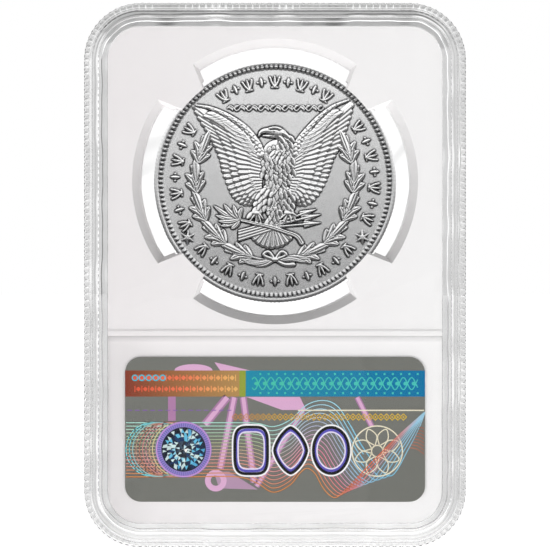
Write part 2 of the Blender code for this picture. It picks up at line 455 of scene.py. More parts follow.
def spline(points, count=20):
    """A smooth path through a few points."""
    knots = np.array(points, float)
    if len(knots) == 2:
        return knots[0] + np.linspace(0, 1, 3)[:, None] * (knots[1] - knots[0])
    padded = np.vstack([2 * knots[0] - knots[1], knots, 2 * knots[-1] - knots[-2]])
    spans = len(knots) - 1
    at = np.linspace(0, spans, count)
    index = np.minimum(at.astype(int), spans - 1)
    t = (at - index)[:, None]
    a, b, c, d = (padded[index + offset] for offset in range(4))
    return 0.5 * (2 * b + (c - a) * t + (2 * a - 5 * b + 4 * c - d) * t**2 + (3 * b - a - 3 * c + d) * t**3)


def along(path, share):
    """The point at a share of a path's points."""
    at = np.clip(share, 0, 1) * (len(path) - 1)
    index = min(int(at), len(path) - 2)
    return path[index] + (at - index) * (path[index + 1] - path[index])


def leaf_width(t):
    return np.sqrt(np.maximum(4 * t * (1 - t), 0)) ** 1.2


def feather_width(t):
    return 0.7 + 0.3 * np.sin(np.pi * np.clip(t / 0.85, 0, 1) / 2)


def even_width(t):
    return np.ones_like(t)


def swelling(t):
    return np.sin(np.pi * np.clip(t, 0, 1))


def blurred(grid, rounds):
    for _ in range(rounds):
        grid = 0.25 * np.roll(grid, 1, 0) + 0.5 * grid + 0.25 * np.roll(grid, -1, 0)
        grid = 0.25 * np.roll(grid, 1, 1) + 0.5 * grid + 0.25 * np.roll(grid, -1, 1)
    return grid


class Relief:
    """A height map over one face of the coin."""

    def __init__(self):
        axis = np.linspace(-MAP_HALF, MAP_HALF, MAP_CELLS + 1)
        self.axis = axis
        self.x, self.z = np.meshgrid(axis, axis)
        self.height = np.zeros_like(self.x)

    def patch(self, path, margin):
        low = (path.min(0) - margin + MAP_HALF) / MAP_STEP
        high = (path.max(0) + margin + MAP_HALF) / MAP_STEP + 2
        size = len(self.axis)
        x0, z0 = np.clip(low.astype(int), 0, size)
        x1, z1 = np.clip(high.astype(int), 0, size)
        return slice(z0, z1), slice(x0, x1)

    def across(self, path, half_width, width_rule):
        """Each cell near a path: its share along it and its signed distance over the local half width."""
        box = self.patch(path, half_width)
        x, z = self.x[box], self.z[box]
        best = np.full(x.shape, 1e9)
        share = np.zeros(x.shape)
        side = np.ones(x.shape)
        steps = len(path) - 1
        for index in range(steps):
            (start_x, start_z), (run_x, run_z) = path[index], path[index + 1] - path[index]
            t = ((x - start_x) * run_x + (z - start_z) * run_z) / (run_x**2 + run_z**2 + 1e-12)
            t = np.clip(t, 0, 1)
            off_x = x - start_x - t * run_x
            off_z = z - start_z - t * run_z
            squared = off_x**2 + off_z**2
            closer = squared < best
            best = np.where(closer, squared, best)
            share = np.where(closer, (index + t) / steps, share)
            side = np.where(closer, np.sign(run_x * off_z - run_z * off_x), side)
        width = np.maximum(half_width * width_rule(share), 1e-3)
        return box, share, side * np.sqrt(best) / width

    def stroke(self, path, half_width, base, lift, width_rule=even_width, rib=0.0, tilt=0.0, under=1.0):
        """Raises a rounded stroke along a path, with an optional midrib and one edge higher. Below 1, under
        is the share of its height that a form beneath keeps, so that the stroke lies over it."""
        box, _, offset = self.across(path, half_width, width_rule)
        inside = np.abs(offset) < 1
        dome = np.sqrt(np.maximum(1 - offset**2, 0))
        level = base * np.minimum(1, dome * 4) + lift * dome + tilt * lift * offset
        level -= rib * np.exp(-((offset / 0.16) ** 2)) * dome
        current = self.height[box]
        self.height[box] = np.where(inside, np.maximum(under * current, level), current)

    def cut(self, box, depth):
        self.height[box] = np.maximum(self.height[box] - depth, 0)

    def near(self, centre, reach):
        """The cells within reach of a point, and where they lie from it."""
        box = self.patch(np.array([centre]), reach)
        return box, self.x[box] - centre[0], self.z[box] - centre[1]

    def groove(self, path, half_width, depth, width_rule=even_width):
        """Cuts a fine line along a path."""
        box, _, offset = self.across(path, half_width, width_rule)
        self.cut(box, depth * np.maximum(1 - offset**2, 0))

    def ellipse(self, centre, radii, turn, base, lift):
        """Raises a rounded oval."""
        cos_turn, sin_turn = cos(turn), sin(turn)
        box, x, z = self.near(centre, max(radii))
        u = (x * cos_turn + z * sin_turn) / radii[0]
        v = (-x * sin_turn + z * cos_turn) / radii[1]
        dome = np.sqrt(np.maximum(1 - u**2 - v**2, 0))
        level = base * np.minimum(1, dome * 4) + lift * dome
        self.height[box] = np.maximum(self.height[box], level)

    def star(self, centre, radius, points, lift, turn=0.0, steep=1.3):
        """Raises a star with a ridge down each arm."""
        box, x, z = self.near(centre, radius)
        reach = np.hypot(x, z)
        arm = np.pi / points
        angle = np.abs((np.arctan2(z, x) - turn + arm) % (2 * arm) - arm)
        inner = 0.5 * radius
        notch_x, notch_z = inner * cos(arm), inner * sin(arm)
        edge = (notch_x - radius) * (reach * np.sin(angle)) - notch_z * (reach * np.cos(angle) - radius)
        level = lift * np.clip(steep * edge / (notch_z * radius), 0, 1)
        self.height[box] = np.maximum(self.height[box], level)

    def scales(self, path, half_width, depth, pitch, width_rule=even_width):
        """Presses rows of rounded scales into what is there, pointing down the path."""
        box, share, offset = self.across(path, half_width, width_rule)
        length = np.sum(np.hypot(*np.diff(path, axis=0).T))
        row_at = share * length / pitch
        row = np.floor(row_at)
        column = offset * half_width * 1.1 / pitch + 0.5 * (row % 2)
        sag = (column - np.floor(column) - 0.5) ** 2 * 2.2
        wave = row_at - row + sag
        pattern = depth * (wave % 1) ** 2.5
        self.cut(box, np.where(np.abs(offset) < 0.95, pattern, 0))

    def plumage(self, path, half_width, rows, base, width_rule=even_width):
        """Covers a stroke with short pointed feathers that overlap down the path."""
        for row in range(rows, -1, -1):
            share = row / rows
            here = along(path, share)
            run = along(path, share + 0.06) - along(path, share - 0.06)
            run = run / np.hypot(*run)
            outward = np.array([-run[1], run[0]])
            half = half_width * float(width_rule(np.float64(share)))
            count = max(2, int(2 * half / 0.62))
            for index in range(count + row % 2):
                offset = (index + 0.5 - 0.5 * (row % 2)) / count * 2 - 1
                root = here + 0.92 * half * offset * outward - 0.25 * (1 - offset**2) * run
                reach = 1.35 + 0.3 * sin(2.4 * index + 1.7 * row)
                tip = root + reach * (run + (0.22 * offset + 0.1 * sin(3.1 * index + row)) * outward)
                lift = base + 0.05 * (1 - share) + 0.03 * (1 - offset**2)
                self.stroke(spline([root, tip]), 0.4, lift, 0.07, leaf_width, tilt=0.4, under=0.6)

    def prepare(self, side):
        """Softens the map, turns it over for the front face, and works out its slopes and hollows."""
        self.height = blurred(self.height, 1)
        if side == FRONT:
            self.height = self.height[::-1]
        self.slope_z, self.slope_x = np.gradient(self.height, MAP_STEP)
        self.hollow = np.clip((blurred(self.height, 16) - self.height) / 0.018, 0, 1)

    def sample(self, grid, x, z):
        """Bilinear values of a grid laid out like the map."""
        u = np.clip((np.asarray(x) + MAP_HALF) / MAP_STEP, 0, len(self.axis) - 1.001)
        v = np.clip((np.asarray(z) + MAP_HALF) / MAP_STEP, 0, len(self.axis) - 1.001)
        i, j = u.astype(int), v.astype(int)
        s, t = u - i, v - j
        low = grid[j, i] * (1 - s) + grid[j, i + 1] * s
        high = grid[j + 1, i] * (1 - s) + grid[j + 1, i + 1] * s
        return low * (1 - t) + high * t


def wing(relief, edge, tips, roots, inner, side):
    """Long feathers fanned from roots to tips, two rows of shorter ones over them, and the arm."""
    edge, tips, roots, inner = (spline(points, 40) for points in (edge, tips, roots, inner))
    rows = ((1.0, 23, 0.02, 0.56), (0.7, 20, 0.07, 0.5), (0.42, 17, 0.11, 0.46))
    for reach, count, base, half_width in rows:
        for index in range(count):
            share = index / (count - 1)
            root = along(roots, share)
            tip = root + reach * (along(tips, share) - root)
            middle = (root + tip) / 2
            run = tip - root
            bow = 0.05 * side * (1 - 2 * share) * np.array([-run[1], run[0]])
            path = spline([root, middle + bow, tip], 9)
            relief.stroke(path, half_width, base, 0.085, feather_width, rib=0.012, tilt=0.35 * side)
    for index in range(19):
        share = index / 18
        root = along(inner, share)
        tip = root + 1.12 * (along(roots, share) - root)
        relief.stroke(spline([root, tip]), 0.36, 0.13, 0.06, feather_width, tilt=0.4 * side)
    for inset, reach in ((1.5, 2.3), (0.75, 1.9)):
        for index in range(15):
            share = 0.06 + 0.66 * index / 14
            run = along(edge, share + 0.03) - along(edge, share - 0.03)
            run /= np.hypot(*run)
            inward = side * np.array([-run[1], run[0]])
            root = along(edge, share) + inset * (1.1 - 0.6 * share) * inward
            tip = root + reach * (1 - 0.3 * share) * (run + 0.35 * inward)
            relief.stroke(spline([root, tip]), 0.36, 0.12, 0.07, leaf_width, tilt=0.4 * side)
    relief.stroke(edge, 0.75, 0.13, 0.08, lambda t: 1 - 0.75 * t)
    relief.scales(edge, 0.75, 0.05, 0.75, lambda t: 1 - 0.75 * t)


def eagle(relief):
    """A standing eagle with raised wings and its head turned to the left."""
    wing(
        relief,
        edge=[(-2.3, 4.2), (-3.0, 6.2), (-4.9, 8.5), (-7.4, 10.3), (-10.0, 11.5), (-12.4, 12.0)],
        tips=[(-12.5, 11.9), (-11.4, 9.6), (-10.1, 7.6), (-9.1, 5.6), (-8.2, 3.4), (-7.8, 1.6),
              (-7.0, -0.6), (-6.2, -2.2), (-4.9, -3.2), (-3.3, -3.3)],
        roots=[(-4.6, 7.4), (-3.9, 4.8), (-3.9, 2.2), (-3.4, -0.4), (-2.8, -2.4)],
        inner=[(-2.9, 5.2), (-2.2, 3.8), (-2.1, 1.8), (-2.2, -0.3), (-2.3, -2.0)],
        side=1,
    )
    wing(
        relief,
        edge=[(3.0, 4.4), (3.8, 6.2), (5.0, 7.9), (7.0, 10.1), (9.2, 11.8), (11.6, 12.8)],
        tips=[(11.9, 12.0), (11.3, 9.7), (10.6, 7.6), (9.7, 5.4), (8.7, 3.4), (8.1, 1.6),
              (7.4, -0.2), (6.4, -2.0), (5.0, -3.3), (3.2, -3.3)],
        roots=[(5.0, 7.3), (4.4, 4.8), (4.4, 2.2), (3.7, -0.4), (3.0, -2.3)],
        inner=[(3.7, 5.2), (3.1, 3.8), (3.0, 1.8), (2.6, -0.3), (2.4, -2.0)],
        side=-1,
    )
    tail(relief)
    body = spline([(0.4, 4.2), (0.45, 2.4), (0.5, 0.6), (0.45, -1.4), (0.1, -3.2)], 24)
    relief.stroke(body, 2.75, 0.08, 0.07, lambda t: 0.88 + 0.2 * swelling(1.6 * t) - 0.62 * t)
    breast = spline([(0.1, 5.5), (0.4, 3.6), (0.5, 1.2), (0.45, -1.2), (0.1, -3.2)], 24)
    relief.plumage(breast, 2.5, 12, 0.09, lambda t: 0.55 + 0.5 * swelling(1.5 * t) - 0.1 * t)
    for start, end, half_width in (((-1.0, -1.4), (-2.9, -4.9), 1.0), ((1.5, -1.6), (2.2, -4.8), 0.95)):
        thigh = spline([start, ((start[0] + end[0]) / 2, (start[1] + end[1]) / 2 + 0.1), end], 12)
        relief.stroke(thigh, half_width, 0.1, 0.08, lambda t: 1 - 0.55 * t)
        relief.plumage(thigh, half_width, 5, 0.12, lambda t: 1 - 0.5 * t)
    head(relief)
    branch_and_arrows(relief)
    feet(relief)


def head(relief):
    neck = spline([(0.9, 3.9), (1.55, 5.4), (1.45, 6.7), (0.5, 7.75)], 20)
    relief.stroke(neck, 1.2, 0.12, 0.08, lambda t: 1.05 - 0.3 * t)
    relief.plumage(neck[:-3][::-1], 1.1, 6, 0.13, lambda t: 0.8 + 0.35 * t)
    relief.ellipse((0.15, 7.75), (1.3, 0.95), radians(-8), 0.18, 0.1)
    beak = spline([(-0.5, 7.95), (-1.5, 8.0), (-2.2, 7.75), (-2.5, 7.2)], 12)
    relief.stroke(beak, 0.52, 0.18, 0.09, lambda t: 1 - 0.62 * t)
    lower_beak = spline([(-0.2, 7.1), (-1.2, 7.15), (-1.85, 7.2)], 8)
    relief.stroke(lower_beak, 0.3, 0.15, 0.06, lambda t: 1 - 0.5 * t)
    relief.groove(spline([(-2.2, 7.42), (-1.3, 7.5), (-0.2, 7.3)], 8), 0.12, 0.12)
    relief.stroke(spline([(-0.9, 8.35), (0.0, 8.5), (0.9, 8.25)], 8), 0.2, 0.24, 0.05)
    relief.groove(spline([(-0.75, 8.15), (0.0, 8.22), (0.7, 8.0)], 8), 0.12, 0.08)
    relief.ellipse((-0.15, 7.95), (0.2, 0.17), 0, 0.26, 0.05)


def tail(relief):
    """The fan below the feet and the narrow part above it."""
    root = np.array([-0.45, -6.4])
    for index in range(9):
        angle = radians(-138 + 96 * index / 8)
        tip = root + np.array([3.6 * cos(angle), 3.75 * sin(angle)])
        start = root + 0.2 * (tip - root)
        relief.stroke(spline([start, tip]), 0.52, 0.05, 0.1, feather_width, rib=0.015, tilt=0.2)
    narrow = spline([(0.1, -2.4), (0.0, -4.4), (-0.2, -6.4)], 16)
    relief.stroke(narrow, 1.25, 0.1, 0.1, lambda t: 1 - 0.3 * t)
    relief.plumage(narrow, 1.1, 6, 0.1, lambda t: 1 - 0.3 * t)


def pointed_leaf(relief, root, tip, half_width, base=0.03, bend=0.08):
    root, tip = np.array(root, float), np.array(tip, float)
    run = tip - root
    middle = (root + tip) / 2 + bend * np.array([-run[1], run[0]])
    relief.stroke(spline([root, middle, tip], 9), half_width, base, 0.11, leaf_width, rib=0.04, under=0.4)


def branch_and_arrows(relief):
    for lift_off in (-0.55, 0.0, 0.55):
        tail_end = np.array([-5.6, -8.5 + 0.9 * lift_off])
        cross = np.array([-0.6, -7.0 + 0.7 * lift_off])
        for vane in (-0.2, 0.2):
            relief.stroke(spline([tail_end + (0, vane), cross + (0, vane)]), 0.24, 0.09, 0.08)
    for rise, head_at in ((0.45, (6.5, -4.35)), (0.0, (7.2, -5.2)), (-0.5, (7.2, -6.5))):
        start = np.array([-0.6, -7.0 + 0.4 * rise])
        tip = np.array(head_at)
        direction = (tip - start) / np.hypot(*(tip - start))
        relief.stroke(spline([start, tip - 0.8 * direction]), 0.2, 0.1, 0.08)
        sideways = np.array([-direction[1], direction[0]])
        for wing_side in (-0.34, 0.34):
            barb = tip - 2.5 * direction + wing_side * sideways
            relief.stroke(spline([barb, tip]), 0.24, 0.06, 0.1, lambda t: 1 - 0.7 * t)
    stem = spline([(-5.6, -6.0), (-3.4, -6.5), (-0.8, -7.1), (1.6, -7.9), (3.4, -8.6), (4.2, -9.7)], 28)
    relief.stroke(stem, 0.32, 0.16, 0.1, lambda t: 0.7 + 0.5 * t)
    relief.groove(stem, 0.1, 0.05)
    upper_tips = ((-9.6, -3.8), (-9.3, -5.3), (-8.0, -3.6), (-6.5, -3.7), (-5.2, -4.1))
    for tip in upper_tips + ((-8.5, -7.0), (-6.9, -7.5), (-8.9, -6.2)):
        pointed_leaf(relief, (-5.5, -5.95), tip, 0.42)


def feet(relief):
    for ankle, toes in (
        ((-2.9, -5.0), ((-4.0, -6.3), (-3.1, -6.9), (-2.2, -6.7), (-1.9, -5.9))),
        ((2.0, -5.0), ((3.4, -5.4), (2.6, -6.4), (1.4, -6.5), (0.8, -5.9))),
    ):
        relief.ellipse(ankle, (0.6, 0.5), 0, 0.16, 0.1)
        for toe in toes:
            middle = ((ankle[0] + toe[0]) / 2 + 0.1, (ankle[1] + toe[1]) / 2 + 0.15)
            relief.stroke(spline([ankle, middle, toe], 7), 0.26, 0.14, 0.1, lambda t: 1 - 0.5 * t)


# Each leaf of a cluster: its angle off the branch, its share of the full length and how far along it starts
LEAVES = (
    (42, 0.66, -0.6), (-42, 0.66, -0.6), (26, 0.92, -0.3), (-26, 0.92, -0.3),
    (10, 1.0, 0.4), (-10, 1.0, 0.4), (0, 1.12, 1.0),
)


def wreath(relief, radius, tip_angle, clusters, tie_angle=-90.0, leaf_length=3.1):
    """Two laurel branches that rise from a bow at the bottom."""
    for side in (-1, 1):
        span = tip_angle - tie_angle
        stem = [polar(radius, tie_angle + side * span * t) for t in np.linspace(0.03, 0.94, 24)]
        relief.stroke(np.array(stem), 0.17, 0.03, 0.1)
        for index in range(clusters):
            share = (index + 0.9) / (clusters + 0.35)
            angle = tie_angle + side * span * share
            for spread, reach, forward in LEAVES:
                at = angle + side * np.degrees(forward / radius)
                root = polar(radius, at)
                turn = radians(at + side * 90 + spread)
                tip = root + leaf_length * reach * np.array([cos(turn), sin(turn)])
                pointed_leaf(relief, root, tip, 0.58, bend=-0.1 * np.sign(spread))


def bow(relief, centre_z):
    for side in (-1, 1):
        loop = [(0, centre_z), (side * 1.0, centre_z + 1.25), (side * 1.75, centre_z + 0.7), (0, centre_z)]
        relief.stroke(spline(loop, 18), 0.27, 0.08, 0.11)
        ribbon = [(0, centre_z), (side * 1.5, centre_z - 0.75), (side * 2.9, centre_z - 0.75)]
        relief.stroke(spline(ribbon, 12), 0.33, 0.05, 0.1, lambda t: 0.8 + 0.3 * t)
        for drop in (0.05, 0.55):
            tip = (side * (5.6 - drop * 1.4), centre_z + 0.15 - drop)
            pointed_leaf(relief, (side * 0.6, centre_z - 0.1), tip, 0.4)
    relief.ellipse((0, centre_z), (0.5, 0.42), 0, 0.16, 0.1)


def border_ornament(relief, start, end, count, radius=15.7):
    """A row of plain palmettes and lozenges round the edge, between two angles."""
    for index in range(count):
        angle = start + (end - start) * index / (count - 1)
        out = polar(1, angle)
        round_way = np.array([-out[1], out[0]])
        centre = radius * out
        if index % 2:
            relief.stroke(spline([centre - 0.75 * out, centre + 0.75 * out]), 0.3, 0.05, 0.12, leaf_width)
            for way in (-0.55, 0.55):
                relief.ellipse(centre + way * round_way, (0.2, 0.2), 0, 0.05, 0.09)
            continue
        foot = centre - 0.9 * out
        relief.stroke(spline([foot, centre + 0.95 * out]), 0.22, 0.05, 0.12, leaf_width)
        for way in (-1, 1):
            middle = centre + way * 0.5 * round_way - 0.1 * out
            curl = [foot, middle, centre + way * 0.75 * round_way + 0.65 * out]
            relief.stroke(spline(curl, 9), 0.2, 0.05, 0.12)
        relief.stroke(spline([foot - 0.5 * round_way, foot + 0.5 * round_way]), 0.14, 0.05, 0.1)


def scroll(relief, low_x, high_x, centre_z, waves):
    """A running scroll with a small leaf in each turn."""
    x = np.linspace(low_x, high_x, waves * 14)
    phase = (x - low_x) / (high_x - low_x) * waves * 2 * pi
    relief.stroke(np.column_stack([x, centre_z + 0.38 * np.sin(phase)]), 0.13, 0.04, 0.09)
    for index in range(2 * waves):
        middle = low_x + (high_x - low_x) * (index + 0.5) / (2 * waves)
        way = -1 if index % 2 == 0 else 1
        tip = (middle + 0.34, centre_z + way * 0.42)
        pointed_leaf(relief, (middle - 0.32, centre_z - way * 0.1), tip, 0.2, bend=0.2)


def reverse_relief():
    relief = Relief()
    wreath(relief, 12.4, 26.0, 5, leaf_length=3.5)
    bow(relief, -12.3)
    scroll(relief, -7.4, 7.6, 11.5, 8)
    eagle(relief)
    for start, end, count in ((149, 206, 7), (121, 59, 9), (33, -22, 7), (-137, -43, 11)):
        border_ornament(relief, start, end, count)
    for way in (-1, 1):
        relief.star((way * 13.7, -8.8), 1.25, 6, 0.2, turn=radians(30 + way * 3), steep=1.8)
    return relief


def obverse_relief():
    """A plain design of no real coin: a faceted star in a laurel wreath, ringed by small stars."""
    relief = Relief()
    relief.star((0, 0.6), 8.2, 8, 0.25, turn=radians(90), steep=1.0)
    relief.ellipse((0, 0.6), (1.5, 1.5), 0, 0.2, 0.06)
    wreath(relief, 11.6, 72.0, 7, leaf_length=3.0)
    bow(relief, -11.6)
    for index in range(26):
        angle = 90 + (index + 0.5) * 360 / 26
        centre = polar(15.9, angle)
        relief.star(centre, 0.9, 6, 0.14, turn=radians(angle))
    return relief


# --- The coin ---

CENTRE_RADIUS = 11.0
RELIEF_LIFT = 2.0  # how much steeper the relief is shaded than it is
COIN_BACK = 0.5


def relief_piece(name, relief, side, x, z, faces, rim, material):
    """A closed plate whose outer face follows the relief. rim lists its outline points in order."""
    grids = (relief.height, relief.hollow, relief.slope_x, relief.slope_z)
    height, hollow, slope_x, slope_z = (relief.sample(grid, x, z) for grid in grids)
    count = len(x)
    top = np.column_stack([x, side * (COIN_FIELD + height), z + COIN_Z])
    cloud = [top]
    size = len(rim[0])
    backs = [list(range(count + index * size, count + (index + 1) * size)) for index in range(len(rim))]
    all_faces = list(faces)
    for loop, back in zip(rim, backs):
        cloud.append(top[loop] * (1, 0, 1) + (0, side * COIN_BACK, 0))
        all_faces += walls(loop, back)
    all_faces += walls(*backs) if len(backs) == 2 else backs
    data = mesh_from(name, np.vstack(cloud), all_faces)
    face_outwards(data)
    normals = np.zeros((len(data.loops), 3))
    outward = np.column_stack([-slope_x, np.full(count, side / RELIEF_LIFT, float), -slope_z])
    outward /= np.linalg.norm(outward, axis=1, keepdims=True)
    index_of = np.zeros(len(data.loops), int)
    data.loops.foreach_get("vertex_index", index_of)
    top_loops = len(faces) * 4
    normals[:top_loops] = outward[index_of[:top_loops]]
    # How hollow each point is, for the silver's painted shade.
    shade = np.zeros(len(data.vertices))
    shade[:count] = hollow
    store(data, "painted_hollow_shade", shade)
    data.set_sharp_from_angle(angle=radians(60))
    data.normals_split_custom_set(normals)
    return put(name, data, material, "coin")


def relief_pieces(word, relief, side, cells, rings, material):
    """One face of the coin, as a centre disc and a ring round it."""
    relief.prepare(side)
    line = np.linspace(-1, 1, cells + 1)
    u, v = np.meshgrid(line, line)
    x = CENTRE_RADIUS * u * np.sqrt(1 - v**2 / 2)
    z = CENTRE_RADIUS * v * np.sqrt(1 - u**2 / 2)
    size = cells + 1
    numbers = np.arange(size * size).reshape(size, size)
    loop = np.concatenate([numbers[0], numbers[1:, -1], numbers[-1, -2::-1], numbers[-2:0:-1, 0]])
    name = f"coin_{word}_centre"
    relief_piece(name, relief, side, x.ravel(), z.ravel(), grid_faces(size, size), [loop], material)
    angles = np.arctan2(z.ravel()[loop], x.ravel()[loop])
    radii = np.linspace(CENTRE_RADIUS, FIELD_RADIUS, rings + 1)
    ring_x = radii[:, None] * np.cos(angles)
    ring_z = radii[:, None] * np.sin(angles)
    count = len(loop)
    faces = grid_faces(rings + 1, count, wrap=True)
    rim = [np.arange(count), np.arange(rings * count, (rings + 1) * count)]
    relief_piece(f"coin_{word}_border", relief, side, ring_x.ravel(), ring_z.ravel(), faces, rim, material)


DENTILS = 155
REEDS = 186
RIM_STATIONS = 1860


def coin_rim(material):
    """The raised rim with beads inside it on both faces, and the reeded edge."""
    turn = np.arange(RIM_STATIONS) / RIM_STATIONS
    bead = np.sqrt(np.maximum(1 - (2.8 * (turn * DENTILS % 1) - 1.4) ** 2, 0))
    reed = np.abs(2 * (turn * REEDS % 1) - 1)
    reed = np.clip(reed * 1.6 - 0.3, 0, 1)
    inner = FIELD_RADIUS
    face = COIN_FACE
    stations = [
        (inner, COIN_BACK, 0, 0),
        (inner, COIN_FIELD, 0, 0),
        (inner + 0.3, COIN_FIELD, 0, 0),
        (inner + 0.37, COIN_FIELD, 0.09, 0),
        (inner + 0.47, COIN_FIELD, 0.16, 0),
        (inner + 0.62, COIN_FIELD, 0.17, 0),
        (inner + 0.73, COIN_FIELD, 0.1, 0),
        (inner + 0.79, COIN_FIELD - 0.02, 0, 0),
        (inner + 0.86, COIN_FIELD + 0.02, 0, 0),
        (inner + 0.93, face - 0.04, 0, 0),
        (inner + 0.96, face - 0.008, 0, 0),
        (inner + 1.0, face, 0, 0),
        (COIN_RADIUS - 0.1, face, 0, 0),
        (COIN_RADIUS - 0.04, face - 0.02, 0, 0.2),
        (COIN_RADIUS - 0.01, face - 0.07, 0, 0.6),
        (COIN_RADIUS, face - 0.16, 0, 1),
        (COIN_RADIUS, face - 0.5, 0, 1),
    ]
    both = [(r, -y, -b, c) for r, y, b, c in stations]
    both += [(r, y, b, c) for r, y, b, c in reversed(stations)]
    angles = 2 * pi * turn
    cloud = []
    for radius, y, beading, reeding in both:
        r = radius - 0.1 * reeding * reed
        height = y + beading * bead
        cloud.append(np.column_stack([r * np.cos(angles), height, r * np.sin(angles) + COIN_Z]))
    rows = len(both)
    faces = grid_faces(rows, RIM_STATIONS, wrap=True)
    faces += walls(np.arange(RIM_STATIONS), (rows - 1) * RIM_STATIONS + np.arange(RIM_STATIONS))
    data = mesh_from("coin_rim", np.vstack(cloud), faces)
    face_outwards(data)
    data.set_sharp_from_angle(angle=radians(70))
    # Painted shade between the beads and in the grooves of the reeding.
    shade = np.zeros((rows, RIM_STATIONS))
    for row, (radius, _, _, reeding) in enumerate(both):
        if inner + 0.25 < radius < inner + 0.85:
            shade[row] = 0.25 + 0.75 * (1 - bead)
        if reeding > 0:
            shade[row] = 0.5 * reeding * reed
    store(data, "painted_hollow_shade", shade.ravel())
    return put("coin_rim", data, material, "coin")


# --- Print: thin closed prisms of ink on a label ---

LABEL_FOOT = 1.5
LABEL_TOP = 1.66
FILM = 0.004


class Print:
    """A sheet of ink shapes over one label, in millimetres about the label's centre."""

    def __init__(self, side, base, centre_z, upright=1):
        self.side = side
        self.base = base
        self.centre_z = centre_z
        self.upright = upright
        self.points = []
        self.faces = []
        self.inks = []

    def place(self, point, level):
        x, z = point
        return (x, self.side * (self.base + level), z * self.upright + self.centre_z)

    def shape(self, outline, ink, level, under=FILM):
        """A flat shape. ink is a colour, or a rule from a point to a colour."""
        start = len(self.points)
        count = len(outline)
        for height in (-under, level * FILM):
            for point in outline:
                self.points.append(self.place(point, height))
                self.inks.append(ink(*point) if callable(ink) else ink)
        lower = list(range(start, start + count))
        upper = list(range(start + count, start + 2 * count))
        self.faces += [lower, upper[::-1]] + walls(lower, upper)

    def line(self, path, width, ink, level, closed=False):
        """A line of even width along a path."""
        path = np.asarray(path, float)
        if closed:
            run = np.roll(path, -1, 0) - np.roll(path, 1, 0)
        else:
            run = np.gradient(path, axis=0)
        run /= np.maximum(np.hypot(run[:, 0], run[:, 1]), 1e-9)[:, None]
        across = np.column_stack([-run[:, 1], run[:, 0]]) * width / 2
        start = len(self.points)
        for point, offset in zip(path, across):
            colour = ink(*point) if callable(ink) else ink
            for way, height in ((1, -FILM), (1, level * FILM), (-1, level * FILM), (-1, -FILM)):
                self.points.append(self.place(point + way * offset, height))
                self.inks.append(colour)
        sections = (start + np.arange(4 * len(path))).reshape(-1, 4)
        for here, there in zip(sections, sections[1:]):
            self.faces += walls(here, there)
        if closed:
            self.faces += walls(sections[-1], sections[0])
        else:
            self.faces += [sections[0].tolist(), sections[-1, ::-1].tolist()]

    def block(self, left, right, foot, top, ink, level):
        """A flat upright rectangle."""
        self.shape([(left, foot), (right, foot), (right, top), (left, top)], ink, level)

    def dot(self, centre, radius, sides, ink, level):
        self.shape(ring_points(centre, radius, sides), ink, level)

    def ring(self, centre, radius, width, ink, level, sides=48):
        self.line(ring_points(centre, radius, sides), width, ink, level, closed=True)

    def done(self, name, material, nodes=()):
        data = mesh_from(name, self.points, self.faces, smooth=False)
        face_outwards(data)
        paint(data, self.inks)
        return put(name, data, material, "holder", nodes)


def paint(data, inks):
    attribute = data.attributes.new("ink", "FLOAT_COLOR", "POINT")
    colours = np.ones((len(data.vertices), 4), np.float32)
    colours[:, :3] = np.asarray(inks, float)
    attribute.data.foreach_set("color", colours.ravel())


def screen(red, green, blue):
    """A colour given on the 0 to 255 screen scale, as the linear values that inks use."""
    share = np.array([red, green, blue]) / 255
    return tuple(np.where(share <= 0.04045, share / 12.92, ((share + 0.055) / 1.055) ** 2.4))


def blend_inks(stops):
    """A rule that blends colours between positions along x."""
    at = [stop[0] for stop in stops]
    colours = np.array([screen(*stop[1]) for stop in stops])

    def rule(x, z):
        return tuple(np.interp(x, at, colours[:, channel]) for channel in range(3))

    return rule


def ring_points(centre, radius, sides, start=0.0):
    angles = radians(start) + 2 * pi * np.arange(sides) / sides
    return np.column_stack([centre[0] + radius * np.cos(angles), centre[1] + radius * np.sin(angles)])


def rounded_outline(width, height, corner, steps=8):
    points = []
    for quarter, (side_x, side_z) in enumerate(((1, 1), (-1, 1), (-1, -1), (1, -1))):
        centre = (side_x * (width / 2 - corner), side_z * (height / 2 - corner))
        for step in range(steps + 1):
            angle = (quarter + step / steps) * pi / 2
            points.append((centre[0] + corner * cos(angle), centre[1] + corner * sin(angle)))
    return points


def label_base(node, side, size, corner, centre_z, ink, material):
    """A label's own sheet, a little thinner than its CAD node to leave room for the ink."""
    sheet = Print(side, LABEL_TOP, centre_z)
    sheet.shape(rounded_outline(*size, corner), ink, 0, under=LABEL_TOP - LABEL_FOOT)
    sheet.done(node.replace("label", "base"), material, (node,))


# --- The hologram label ---

TERRACOTTA = blend_inks(
    [
        (-23.5, (136, 54, 36)),
        (-20.0, (150, 52, 46)),
        (-16.0, (160, 62, 58)),
        (-12.0, (166, 86, 82)),
        (-9.5, (162, 96, 94)),
        (-5.6, (182, 142, 84)),
    ]
)
SKY = blend_inks(
    [(-4.6, (18, 142, 172)), (6.0, (6, 132, 188)), (14.0, (2, 122, 184)), (23.5, (2, 118, 168))]
)
PEACH = blend_inks([(-23.5, (228, 80, 52)), (-14.0, (240, 122, 84)), (-6.0, (236, 186, 108))])
PALE = blend_inks([(-4.6, (70, 198, 170)), (23.5, (74, 200, 190))])
SUNSET = blend_inks(
    [(-6.7, (206, 132, 74)), (0.0, (222, 176, 62)), (12.0, (232, 190, 46)), (20.2, (236, 198, 52))]
)
RUST = blend_inks([(21.0, (196, 128, 104)), (23.5, (160, 104, 84))])
CREAM = screen(240, 232, 206)
ROSE = screen(178, 128, 170)
BLUSH = screen(224, 176, 212)
VIOLET = screen(136, 96, 176)
TEAL = screen(70, 190, 214)
INK_BLACK = screen(4, 3, 8)
OLIVE = screen(150, 164, 58)
SHADOW = screen(70, 70, 66)
